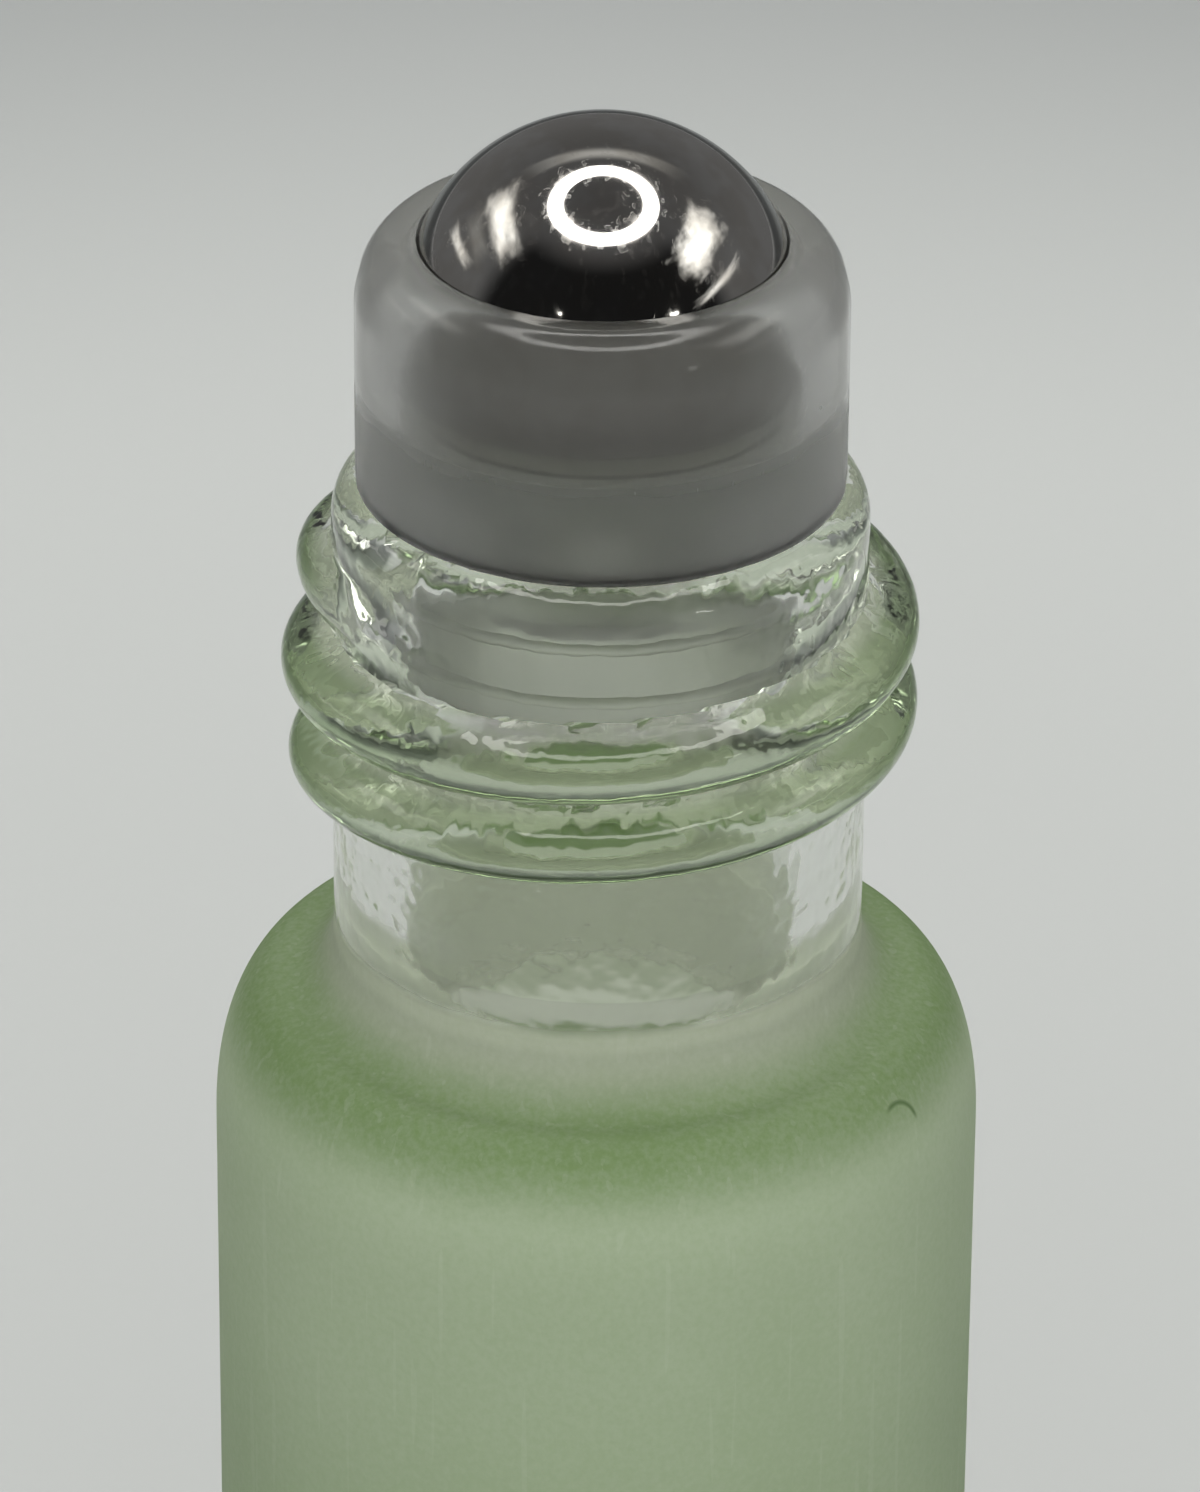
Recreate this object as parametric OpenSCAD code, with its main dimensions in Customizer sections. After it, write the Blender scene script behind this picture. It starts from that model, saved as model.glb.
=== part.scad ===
// Roll on bottle: a threaded glass bottle, a plug-in ball housing and a steel roller ball.
// Millimetres, +Z up, origin at the centre of the ring that the bottle stands on.

/* [Body] */
// Outer diameter of the bottle's body
body_d = 19.8; // [19:0.1:30]
// Height at which the straight wall ends and the shoulder begins
body_h = 56.1; // [25:0.1:90]
// Glass thickness of the body's wall
wall_t = 1.8; // [1:0.1:2.4]
// Glass thickness of the base, above the recess
base_t = 1.8; // [1:0.1:5]
// Radius of the rounded heel between wall and base
heel_r = 1.6; // [0.8:0.1:2.4]
// Radius of the inside corner at the bottom
floor_r = 1.8; // [0.5:0.1:3]
// Depth of the recess under the base
punt_h = 0.8; // [0.3:0.1:1.5]
// Width of the flat ring that the bottle stands on
ring_w = 1; // [0.5:0.1:1.5]

/* [Shoulder] */
// Height of the rounded shoulder
shoulder_h = 4.05; // [2.5:0.05:8]
// Height of the hollow curve between shoulder and neck
sweep_h = 1.8; // [0.8:0.1:3]
// Width of the hollow curve between shoulder and neck
sweep_w = 1.2; // [0.5:0.1:2]
// How square the shoulder's curve is, where 2 is an ellipse
shoulder_power = 2.2; // [2:0.05:3]

/* [Neck] */
// Outer diameter of the neck between the threads
neck_d = 13.6; // [13:0.1:15]
// Height of the neck, from the top of the hollow curve to the lip
neck_h = 12.65; // [10:0.05:18]
// Bore of the neck
bore_d = 10.2; // [9.4:0.1:10.6]
// Radius of the lip's rounded outer edge
lip_r = 1; // [0.3:0.1:1.1]
// Radius of the lip's inner edge
lip_in_r = 0.35; // [0.1:0.05:0.5]
// Diameter of the throat, where the bore narrows before it opens into the body
throat_d = 8; // [7:0.1:9]
// Height above the neck's foot at which the bore begins to narrow
funnel_h = 0.6; // [0.2:0.1:1.5]
// Radius of the edge where the throat opens into the body
throat_edge_r = 0.4; // [0.2:0.1:0.8]

/* [Thread] */
// Diameter over the crests of the thread
thread_d = 16.2; // [15.4:0.1:17]
// Pitch of the right-handed thread
thread_pitch = 2.25; // [2:0.05:3]
// Width of the thread's rounded ridge at the neck
thread_w = 2.1; // [1.2:0.1:2.6]
// Turns from one run-out to the other
thread_turns = 2.22; // [1.5:0.01:2.6]
// Angle over which the ridge rises from the neck at each end
thread_fade = 70; // [30:5:120]
// Drop from the lip to the middle of the ridge at its upper end
thread_drop = 2.62; // [1.5:0.01:4]
// Direction of the upper end, seen from above and counted from the front
thread_end = 305; // [0:5:355]

/* [Roller ball] */
// Diameter of the steel ball
ball_d = 10; // [9:0.1:10.4]
// Play all round the ball in its seat
ball_play = 0.06; // [0.02:0.01:0.1]
// Height of the ball above the housing's rim
ball_show = 3.03; // [2:0.01:4]

/* [Ball housing] */
// Thickness of the housing's wall beside the ball
socket_wall = 1.14; // [0.9:0.01:1.5]
// How far the ball reaches below the glass lip
seat_drop = 0.41; // [0:0.01:1]
// Height of the rounded crown below the rim
crown_h = 1.75; // [0.8:0.05:2.2]
// Width of the rounded crown
crown_w = 1.15; // [0.5:0.05:1.3]
// Radius of the lower outer edge, above the glass lip
skirt_r = 0.1; // [0.05:0.05:0.6]
// Depth of the ledge in the socket, below the ball's centre
ledge_drop = 2.2; // [1:0.05:2.5]
// Diameter of the well under the ball
well_d = 6.4; // [5:0.1:7]
// Width of the ribs that carry the ball in the well
rib_w = 0.7; // [0.5:0.05:1]
// Number of those ribs
rib_count = 6; // [3:1:8]
// Diameter of the feed hole through the floor
feed_d = 2.4; // [1.5:0.1:3]
// Thickness of the floor under the well
floor_t = 1; // [0.6:0.1:1.5]

/* [Plug] */
// Length of the plug below the glass lip
plug_l = 4.7; // [3.5:0.1:7]
// Play between the plug's sealing beads and the bore
plug_play = 0.03; // [0.02:0.01:0.1]
// Height that the sealing beads stand out of the plug
bead_t = 0.15; // [0.05:0.05:0.3]
// Number of sealing beads
bead_count = 2; // [1:1:3]
// Distance between sealing beads
bead_pitch = 1.5; // [1:0.1:2]
// Wall of the hollow plug
plug_wall = 1; // [0.7:0.1:1.4]
// Chamfer that leads the plug into the neck
plug_lead = 0.4; // [0.2:0.05:0.6]

/* [Hidden] */
$fn = 96;
overrun = 0.5;
// Steps of a quarter turn in an outline, and of one turn of the thread
arc_steps = 12;
turn_steps = 45;
ridge_steps = 8;

body_r = body_d / 2;
inner_r = body_r - wall_t;
floor_z = punt_h + base_t;
neck_r = neck_d / 2;
bore_r = bore_d / 2;
shoulder_z = body_h + shoulder_h;
neck_z = shoulder_z + sweep_h;
lip_z = neck_z + neck_h;
shoulder_r = neck_r + sweep_w;
cavity_top_z = shoulder_z - wall_t;
throat_r = throat_d / 2;
throat_z = cavity_top_z + throat_edge_r;
funnel_z = neck_z + funnel_h;
ring_r = body_r - heel_r;
punt_r = ring_r - ring_w;

ball_r = ball_d / 2;
ball_z = lip_z - seat_drop + ball_r;
rim_z = ball_z + ball_r - ball_show;
socket_r = ball_r + ball_play;
housing_r = socket_r + socket_wall;
well_r = well_d / 2;
ledge_z = ball_z - ledge_drop;
well_sink_share = 0.2;
well_z = ball_z - socket_r - well_sink_share * well_r;
plug_r = bore_r - plug_play - bead_t;
plug_z = lip_z - plug_l;
hollow_r = plug_r - plug_wall;
first_bead_z = plug_z + plug_lead + bead_pitch / 2;

// Points of a quarter of a superellipse about c, from angle a to angle b
function quarter(c, w, h, a, b, p = 2, n = arc_steps) = [
    for (i = [0 : n])
        let (t = a + (b - a) * i / n)
        [
            c[0] + w * sign(cos(t)) * pow(abs(cos(t)), 2 / p),
            c[1] + h * sign(sin(t)) * pow(abs(sin(t)), 2 / p)
        ]
];

// Outside of the glass, from the middle of the base round to the lip
glass_outside = concat(
    [[0, punt_h]],
    quarter([punt_r - punt_h, 0], punt_h, punt_h, 90, 0),
    quarter([ring_r, heel_r], heel_r, heel_r, 270, 360),
    quarter([shoulder_r, body_h], body_r - shoulder_r, shoulder_h, 0, 90, shoulder_power, 2 * arc_steps),
    quarter([shoulder_r, neck_z], sweep_w, sweep_h, 270, 180),
    quarter([neck_r - lip_r, lip_z - lip_r], lip_r, lip_r, 0, 90)
);

// Inside of the glass, from the lip down the bore and its funnel to the middle of the floor
glass_inside = concat(
    quarter([bore_r + lip_in_r, lip_z - lip_in_r], lip_in_r, lip_in_r, 90, 180),
    [
        for (i = [0 : arc_steps - 1])
            [
                throat_r + (bore_r - throat_r) * (1 + cos(180 * i / arc_steps)) / 2,
                funnel_z - (funnel_z - throat_z) * i / arc_steps
            ]
    ],
    quarter([throat_r + throat_edge_r, throat_z], throat_edge_r, throat_edge_r, 180, 270),
    quarter(
        [throat_r + throat_edge_r, body_h],
        inner_r - throat_r - throat_edge_r,
        cavity_top_z - body_h,
        90, 0, shoulder_power, 2 * arc_steps
    ),
    quarter([inner_r - floor_r, floor_z + floor_r], floor_r, floor_r, 360, 270),
    [[0, floor_z]]
);

// Turns of the thread, with the ridge rising from the neck and sinking back into it.
// The ridge is the part of an ellipse that stands out of the neck.
ridge_sink_share = 0.18;
ridge_h = thread_d / 2 - neck_r;
ridge_sink = wall_t * ridge_sink_share;
ridge_base_r = neck_r - ridge_sink;
ridge_root_r = neck_r - 2 * ridge_sink;
ridge_half_w = thread_w / 2 / sqrt(1 - pow(ridge_sink / (ridge_h + ridge_sink), 2));
ridge_count = ceil(thread_turns * turn_steps);
thread_low = thread_end - thread_turns * 360;
thread_top_z = lip_z - thread_drop;
function ridge_rise(a) =
    sin(90 * max(0, min(1, (a - thread_low) / thread_fade, (thread_end - a) / thread_fade)));
function ridge_middle(a) = thread_top_z - thread_pitch * (thread_end - a) / 360;
function ridge_point(a, r, z) = [r * sin(a), -r * cos(a), z];
function ridge_ring(a) = concat(
    [
        for (j = [0 : ridge_steps])
            let (t = 180 * j / ridge_steps)
            ridge_point(
                a,
                ridge_base_r + (ridge_h + ridge_sink) * ridge_rise(a) * sin(t),
                ridge_middle(a) + ridge_half_w * cos(t)
            )
    ],
    [
        for (side = [-1, 1])
            ridge_point(a, ridge_root_r, ridge_middle(a) + side * ridge_half_w)
    ]
);

module ridge() {
    ring = ridge_steps + 3;
    rings = [
        for (i = [0 : ridge_count])
            ridge_ring(thread_low + (thread_end - thread_low) * i / ridge_count)
    ];
    sides = [
        for (i = [0 : ridge_count - 1])
            for (j = [0 : ring - 1])
                let (k = (j + 1) % ring)
                for (face = [
                    [i * ring + j, (i + 1) * ring + j, (i + 1) * ring + k],
                    [i * ring + j, (i + 1) * ring + k, i * ring + k]
                ])
                    face
    ];
    first = [for (j = [0 : ring - 1]) j];
    last = [for (j = [ring - 1 : -1 : 0]) ridge_count * ring + j];
    polyhedron([for (points = rings) each points], concat(sides, [first, last]));
}

module glass_bottle() {
    color([0.72, 0.8, 0.7])
        union() {
            rotate_extrude()
                polygon(concat(glass_outside, glass_inside));
            ridge();
        }
}

// Outline of the plug, its flange and the crown, without the hollows
housing_outside = concat(
    [[0, plug_z], [plug_r - plug_lead, plug_z], [plug_r, plug_z + plug_lead], [plug_r, lip_z]],
    quarter([housing_r - skirt_r, lip_z + skirt_r], skirt_r, skirt_r, 270, 360),
    quarter([housing_r - crown_w, rim_z - crown_h], crown_w, crown_h, 0, 90),
    [[0, rim_z]]
);

module sealing_bead() {
    // A ring of round section that stands bead_t out of the plug
    rotate_extrude()
        translate([plug_r, 0])
            circle(r = bead_t, $fn = 32);
}

module feed_ribs() {
    intersection() {
        for (i = [0 : rib_count - 1])
            rotate([0, 0, 360 * i / rib_count])
                translate([feed_d / 2, -rib_w / 2, well_z - floor_t / 2])
                    cube([well_r, rib_w, ball_z - well_z]);
        difference() {
            translate([0, 0, well_z - floor_t / 2])
                cylinder(r = well_r + rib_w, h = ledge_z - well_z);
            translate([0, 0, ball_z])
                sphere(r = socket_r);
        }
    }
}

module ball_housing() {
    color([0.8, 0.82, 0.8, 0.9])
        difference() {
            union() {
                rotate_extrude()
                    polygon(housing_outside);
                for (i = [0 : bead_count - 1])
                    translate([0, 0, first_bead_z + i * bead_pitch])
                        sealing_bead();
            }
            // The ball's socket, with a ledge below the ball's widest line
            translate([0, 0, ball_z])
                sphere(r = socket_r);
            translate([0, 0, ledge_z])
                cylinder(r = socket_r, h = ledge_drop);
            // The well under the ball, less its ribs
            difference() {
                translate([0, 0, well_z])
                    cylinder(r = well_r, h = ledge_z - well_z);
                feed_ribs();
            }
            // The feed hole and the hollow of the plug
            translate([0, 0, plug_z - overrun])
                cylinder(r = feed_d / 2, h = ball_z - plug_z);
            translate([0, 0, plug_z - overrun])
                cylinder(r = hollow_r, h = well_z - floor_t - plug_z + overrun);
        }
}

module roller_ball() {
    color([0.6, 0.6, 0.62])
        translate([0, 0, ball_z])
            sphere(r = ball_r);
}

glass_bottle();
ball_housing();
roller_ball();
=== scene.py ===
# Looks of the roll on bottle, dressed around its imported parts.
import math

import bmesh
import bpy
from mathutils import Matrix, Vector


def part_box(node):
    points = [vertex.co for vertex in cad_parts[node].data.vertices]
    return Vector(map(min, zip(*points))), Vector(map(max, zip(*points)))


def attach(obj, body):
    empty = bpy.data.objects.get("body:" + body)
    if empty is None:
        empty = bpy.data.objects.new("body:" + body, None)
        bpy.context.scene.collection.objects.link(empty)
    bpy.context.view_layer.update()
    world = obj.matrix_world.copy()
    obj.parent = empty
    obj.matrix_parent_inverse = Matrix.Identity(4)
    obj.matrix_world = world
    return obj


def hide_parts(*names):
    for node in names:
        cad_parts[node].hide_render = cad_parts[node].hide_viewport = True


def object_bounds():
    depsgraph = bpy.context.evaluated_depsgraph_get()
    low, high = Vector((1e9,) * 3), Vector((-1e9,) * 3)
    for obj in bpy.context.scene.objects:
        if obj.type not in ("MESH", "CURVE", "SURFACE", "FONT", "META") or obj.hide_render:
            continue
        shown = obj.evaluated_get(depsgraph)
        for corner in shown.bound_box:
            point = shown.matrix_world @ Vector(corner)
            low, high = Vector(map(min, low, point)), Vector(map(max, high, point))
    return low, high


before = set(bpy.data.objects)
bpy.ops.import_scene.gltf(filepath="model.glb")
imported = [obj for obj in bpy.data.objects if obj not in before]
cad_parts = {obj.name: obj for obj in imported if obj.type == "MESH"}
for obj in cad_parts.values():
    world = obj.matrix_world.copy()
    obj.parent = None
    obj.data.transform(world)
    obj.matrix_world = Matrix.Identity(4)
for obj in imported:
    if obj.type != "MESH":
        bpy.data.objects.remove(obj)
cadLow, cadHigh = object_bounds()
print("stage: frame loaded")

# Sizes below are in millimetres and angles in degrees, and Blender takes metres and radians;
# rows and columns are steps of a mesh
mm = 0.001
roundSteps = 96  # round the floor and the ring lamp
sharpAngle = 35  # edges that turn by more are drawn sharp


# Nodes and meshes

def addNode(tree, kind, values=None, **settings):
    node = tree.nodes.new(kind)
    for key, value in settings.items():
        setattr(node, key, value)
    for key, value in (values or {}).items():
        node.inputs[key].default_value = value
    return node


def joinMath(tree, operation, first, second):
    node = addNode(tree, "ShaderNodeMath", operation=operation)
    for socket, value in zip(node.inputs, (first, second)):
        if isinstance(value, (int, float)):
            socket.default_value = value
        else:
            tree.links.new(value, socket)
    return node.outputs[0]


def startMaterial(name):
    material = bpy.data.materials.new(name)
    material.use_nodes = True
    tree = material.node_tree
    tree.nodes.clear()
    return material, tree, addNode(tree, "ShaderNodeOutputMaterial")


def ellipseArc(middle, width, height, first, last, steps, power=2.0):
    points = []
    for i in range(steps + 1):
        turn = math.radians(first + (last - first) * i / steps)
        cosine, sine = math.cos(turn), math.sin(turn)
        points.append((
            middle[0] + math.copysign(width * abs(cosine) ** (2 / power), cosine),
            middle[1] + math.copysign(height * abs(sine) ** (2 / power), sine),
        ))
    return points


def straight(start, end, steps):
    return [
        (start[0] + (end[0] - start[0]) * i / steps, start[1] + (end[1] - start[1]) * i / steps)
        for i in range(1, steps)
    ]


def turned(radius, height, angle):
    # A place in metres at an angle round the Z axis, counted from the front
    turn = math.radians(angle)
    return Vector((radius * math.sin(turn), -radius * math.cos(turn), height)) * mm


def linkMesh(name, mesh):
    piece = bpy.data.objects.new(name, mesh)
    bpy.context.scene.collection.objects.link(piece)
    return piece


def finishShell(name, shell, materials):
    # An object with smooth shading and sharp edges
    bmesh.ops.recalc_face_normals(shell, faces=shell.faces)
    for face in shell.faces:
        face.smooth = True
    for edge in shell.edges:
        if len(edge.link_faces) == 2 and edge.calc_face_angle(0) > math.radians(sharpAngle):
            edge.smooth = False
    mesh = bpy.data.meshes.new(name)
    shell.to_mesh(mesh)
    shell.free()
    for material in materials:
        mesh.materials.append(material)
    return linkMesh(name, mesh)


def roundShell(name, columns, rowCount, pointAt, slotAt, materials):
    # A closed shell of rings round the Z axis; the first and last rows are points on the axis
    shell = bmesh.new()
    rings = []
    for row in range(rowCount):
        if row in (0, rowCount - 1):
            rings.append([shell.verts.new(pointAt(row, 0))] * columns)
        else:
            rings.append([shell.verts.new(pointAt(row, column)) for column in range(columns)])
    for row in range(rowCount - 1):
        for column in range(columns):
            after = (column + 1) % columns
            corners = [rings[row][column], rings[row][after], rings[row + 1][after], rings[row + 1][column]]
            face = shell.faces.new(list(dict.fromkeys(corners)))
            face.material_index = slotAt(row)
    return finishShell(name, shell, materials)


# Effects that several finishes share

def addPlace(tree, kind="Object"):
    # The place on the surface, whole and as its X, Y and Z
    place = addNode(tree, "ShaderNodeTexCoord").outputs[kind]
    split = addNode(tree, "ShaderNodeSeparateXYZ")
    tree.links.new(place, split.inputs[0])
    return place, split.outputs


def startGroup(name, inputs):
    # A node group that turns a few numbers into one mask over the surface
    group = bpy.data.node_groups.new(name, "ShaderNodeTree")
    for label, value in inputs.items():
        socket = group.interface.new_socket(label, in_out="INPUT", socket_type="NodeSocketFloat")
        socket.default_value = value
    group.interface.new_socket("Mask", in_out="OUTPUT", socket_type="NodeSocketFloat")
    place = addNode(group, "ShaderNodeTexCoord")
    return group, addNode(group, "NodeGroupInput"), place.outputs["Object"], addNode(group, "NodeGroupOutput")


def placeGroup(tree, group, **values):
    node = addNode(tree, "ShaderNodeGroup", node_tree=group)
    for label, value in values.items():
        node.inputs[label].default_value = value
    return node.outputs["Mask"]


def makeGrainGroup():
    # Soft noise about 0.5; Fineness is in grains to the metre
    group, start, place, end = startGroup("grain", {"Fineness": 6000, "Contrast": 1, "Seed": 0})
    noise = addNode(group, "ShaderNodeTexNoise", {"Detail": 2.0, "Roughness": 0.6}, noise_dimensions="4D")
    group.links.new(place, noise.inputs["Vector"])
    group.links.new(start.outputs["Fineness"], noise.inputs["Scale"])
    group.links.new(start.outputs["Seed"], noise.inputs["W"])
    offset = joinMath(group, "SUBTRACT", noise.outputs[0], 0.5)
    spread = joinMath(group, "MULTIPLY", offset, start.outputs["Contrast"])
    group.links.new(joinMath(group, "ADD", spread, 0.5), end.inputs["Mask"])
    return group


def makeSpecksGroup():
    # Small sparse spots, such as dust; Share is the part of the cells that hold one
    group, start, place, end = startGroup("specks", {"Fineness": 900, "Size": 0.12, "Share": 0.1})
    cells = addNode(group, "ShaderNodeTexVoronoi")
    group.links.new(place, cells.inputs["Vector"])
    group.links.new(start.outputs["Fineness"], cells.inputs["Scale"])
    near = joinMath(group, "LESS_THAN", cells.outputs["Distance"], start.outputs["Size"])
    pick = addNode(group, "ShaderNodeSeparateColor")
    group.links.new(cells.outputs["Color"], pick.inputs[0])
    chosen = joinMath(group, "LESS_THAN", pick.outputs[0], start.outputs["Share"])
    group.links.new(joinMath(group, "MULTIPLY", near, chosen), end.inputs["Mask"])
    return group


def makeScratchesGroup():
    # Hairlines in three directions; Depth sets how many show
    group, start, place, end = startGroup("scratches", {"Fineness": 4000, "Stretch": 0.03, "Depth": 0.64})
    found = None
    for turn in ((0.3, 0.9, 0.2), (1.4, 0.1, 0.8), (0.7, 2.1, 1.9)):
        slope = addNode(group, "ShaderNodeMapping", {"Rotation": turn})
        group.links.new(place, slope.inputs["Vector"])
        long = addNode(group, "ShaderNodeCombineXYZ", {"X": 1.0, "Y": 1.0})
        group.links.new(start.outputs["Stretch"], long.inputs["Z"])
        group.links.new(long.outputs[0], slope.inputs["Scale"])
        noise = addNode(group, "ShaderNodeTexNoise", {"Detail": 1.0})
        group.links.new(slope.outputs[0], noise.inputs["Vector"])
        group.links.new(start.outputs["Fineness"], noise.inputs["Scale"])
        line = joinMath(group, "GREATER_THAN", noise.outputs[0], start.outputs["Depth"])
        found = line if found is None else joinMath(group, "MAXIMUM", found, line)
    group.links.new(found, end.inputs["Mask"])
    return group


def addSurface(tree, values, rough, normal, tone):
    # A Principled shader with its plain values and the sockets that change over the surface
    surface = addNode(tree, "ShaderNodeBsdfPrincipled", values)
    for label, output in (("Roughness", rough), ("Normal", normal), ("Base Color", tone)):
        if output is not None:
            tree.links.new(output, surface.inputs[label])
    return surface


def addBump(tree, height, strength, depth):
    bump = addNode(tree, "ShaderNodeBump", {"Strength": strength, "Distance": depth * mm})
    tree.links.new(height, bump.inputs["Height"])
    return bump.outputs[0]


def addRange(tree, value, low, high, first, last):
    # A value that goes smoothly from first to last
    fade = addNode(tree, "ShaderNodeMapRange", {
        "From Min": low, "From Max": high, "To Min": first, "To Max": last}, interpolation_type="SMOOTHSTEP")
    tree.links.new(value, fade.inputs["Value"])
    return fade.outputs[0]


def addTone(tree, share, first, last):
    # A colour between two, each a colour value or the output of a node
    blend = addNode(tree, "ShaderNodeMix", data_type="RGBA")
    tree.links.new(share, blend.inputs["Factor"])
    for label, tone in (("A", first), ("B", last)):
        if isinstance(tone, tuple):
            blend.inputs[label].default_value = (*tone, 1)
        else:
            tree.links.new(tone, blend.inputs[label])
    return blend.outputs["Result"]


def addBands(tree, height, tone, changes):
    # A colour that goes from one tone to the next as the height passes each change
    for low, high, after in changes:
        tone = addTone(tree, addRange(tree, height, low, high, 0.0, 1.0), tone, after)
    return tone


grainGroup = makeGrainGroup()
specksGroup = makeSpecksGroup()
scratchesGroup = makeScratchesGroup()
# Parts of the grain's values over which something changes
narrowSpan = (0.35, 0.65)
middleSpan = (0.3, 0.7)
wideSpan = (0.2, 0.8)


# Studio: camera, floor, lamps and room

studio = {
    "aimHeight": 66.8,
    "aimSide": 0.025,
    "distance": 244.3,
    "pitch": 28.75,
    "roll": 0.45,
    "focalPixels": 9565,
    "imageHeight": 1492,
    "sensor": 36,
    "nearest": 10,
    "farthest": 20000,
}
floor = {
    "nearTone": (0.45, 0.467, 0.463),
    "farTone": (0.172, 0.183, 0.186),
    "nearReach": 140,
    "farReach": 250,
    # Painted shade on the floor in front of the object
    "frontShadeTone": (0.27, 0.27, 0.27),
    "frontShadeFrom": 12,
    "frontShadeTo": 60,
    "skyTone": (0.85, 0.86, 0.86),
    "skyFrom": 1100,
    "skyTo": 2600,
    "radius": 3000,
    "roughness": 0.9,
    "shine": 0.1,
}
ringLamp = {
    "height": 420,
    "lean": -0.3,
    "inner": 19.4,
    "outer": 27.4,
    "strength": 5.0,
    "tone": (1.0, 0.985, 0.95),
}
# Each panel's shape: bearing from the camera side, elevation, width, height and tilt in degrees,
# then strength, the width of its soft edge, and how ragged that edge is
panels = {
    "reach": 450,
    "raggedScale": 5.0,
    "raggedStep": 3.7,
    "tone": (1.0, 0.985, 0.93),
    "shapes": [
        (-103, 39, 50, 17, 2, 2.1, 0.42, 0.45),
        (-111, 14.5, 34, 6, 10, 1.3, 0.45, 0.3),
        (-106, 25, 38, 13, 0, 0.3, 0.45, 0.2),
        (86, 39, 48, 24, 4, 2.5, 0.40, 0.65),
        (80, 18.5, 46, 5, 2, 1.4, 0.45, 0.5),
        (-26, 21, 2.0, 1.6, 0, 12.0, 0.35, 0.3),
        (44, 17, 6, 1.8, 0, 14.0, 0.35, 0.3),
        (180, 52, 66, 13, 0, 0.55, 0.50, 0.0),
    ],
}
# Soft lamps over the camera and behind the object, shaped as the panels are;
# polished things don't mirror them, and clear things show the back one
softLamps = {
    "tone": (1.0, 0.99, 0.96),
    "front": (0, 30, 70, 44, 0, 8.0, 0.45, 0.0),
    "back": (180, 24, 70, 40, 0, 5.0, 0.45, 0.0),
}
# Levels of the room, and the shares of Y and Z in a direction over which they change
room = {
    "lightPaths": 32,
    "milkPaths": 5,
    "pale": 0.30,
    "bright": 0.40,
    "dim": 0.15,
    "dark": 0.012,
    "overhead": 0.085,
    "frontSpan": (-0.35, -0.05),
    "lowSpan": (0.70, 0.90),
    "highSpan": (0.3, 1.0),
}


def makeCamera(values):
    pitch, roll = math.radians(values["pitch"]), math.radians(values["roll"])
    back = Vector((0, -math.cos(pitch), math.sin(pitch)))
    level = Vector((1, 0, 0))
    rise = back.cross(level)
    right = level * math.cos(roll) + rise * math.sin(roll)
    up = rise * math.cos(roll) - level * math.sin(roll)
    lens = bpy.data.cameras.new("camera")
    lens.sensor_width = values["sensor"]
    lens.lens = values["focalPixels"] / values["imageHeight"] * values["sensor"]
    lens.clip_start = values["nearest"] * mm
    lens.clip_end = values["farthest"] * mm
    camera = bpy.data.objects.new("camera", lens)
    aim = Vector((values["aimSide"], 0, values["aimHeight"])) * mm
    place = Matrix((right, up, back)).transposed().to_4x4()
    place.translation = aim + back * values["distance"] * mm
    camera.matrix_world = place
    bpy.context.scene.collection.objects.link(camera)
    bpy.context.scene.camera = camera


def makeFloor(values):
    # Pale round the object, darker further off, with painted shade on the floor in front, and pale again
    # where it meets the sky
    material, tree, output = startMaterial("pale floor")
    surface = addNode(tree, "ShaderNodeBsdfPrincipled", {
        "Roughness": values["roughness"], "Specular IOR Level": values["shine"]})
    place, parts = addPlace(tree)
    reach = addNode(tree, "ShaderNodeVectorMath", operation="LENGTH")
    tree.links.new(place, reach.inputs[0])
    fade = addRange(tree, reach.outputs["Value"], values["nearReach"] * mm, values["farReach"] * mm, 0.0, 1.0)
    tone = addTone(tree, fade, values["nearTone"], values["farTone"])
    # Painted shade: the floor is darker in front of the object
    front = addRange(tree, parts["Y"], -values["frontShadeTo"] * mm, -values["frontShadeFrom"] * mm, 1.0, 0.0)
    tone = addTone(tree, front, tone, values["frontShadeTone"])
    sky = addRange(tree, reach.outputs["Value"], values["skyFrom"] * mm, values["skyTo"] * mm, 0.0, 1.0)
    tone = addTone(tree, sky, tone, values["skyTone"])
    tree.links.new(tone, surface.inputs["Base Color"])
    tree.links.new(surface.outputs[0], output.inputs["Surface"])
    mesh = bpy.data.meshes.new("floor")
    disc = bmesh.new()
    bmesh.ops.create_circle(disc, cap_ends=True, segments=roundSteps, radius=values["radius"] * mm)
    disc.to_mesh(mesh)
    disc.free()
    mesh.materials.append(material)
    linkMesh("floor", mesh)


def makeRing(values):
    # A round lamp overhead with a dark middle, leaning a little to the back
    material, tree, output = startMaterial("ring lamp")
    glow = addNode(tree, "ShaderNodeEmission", {
        "Color": (*values["tone"], 1), "Strength": values["strength"]})
    tree.links.new(glow.outputs[0], output.inputs["Surface"])
    reach = values["height"] - cadHigh.z / mm
    mesh = bpy.data.meshes.new("ring_lamp")
    ring = bmesh.new()
    circles = []
    for angle in (values["inner"], values["outer"]):
        radius = reach * math.tan(math.radians(angle)) * mm
        circles.append([
            ring.verts.new((
                radius * math.cos(2 * math.pi * i / roundSteps),
                radius * math.sin(2 * math.pi * i / roundSteps),
                reach * mm,
            ))
            for i in range(roundSteps)
        ])
    for i in range(roundSteps):
        after = (i + 1) % roundSteps
        ring.faces.new((circles[0][i], circles[0][after], circles[1][after], circles[1][i]))
    ring.to_mesh(mesh)
    ring.free()
    mesh.materials.append(material)
    lamp = linkMesh("ring_lamp", mesh)
    lamp.rotation_euler.x = -math.radians(values["lean"])
    lamp.location.z = cadHigh.z
    lamp.visible_camera = False


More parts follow.
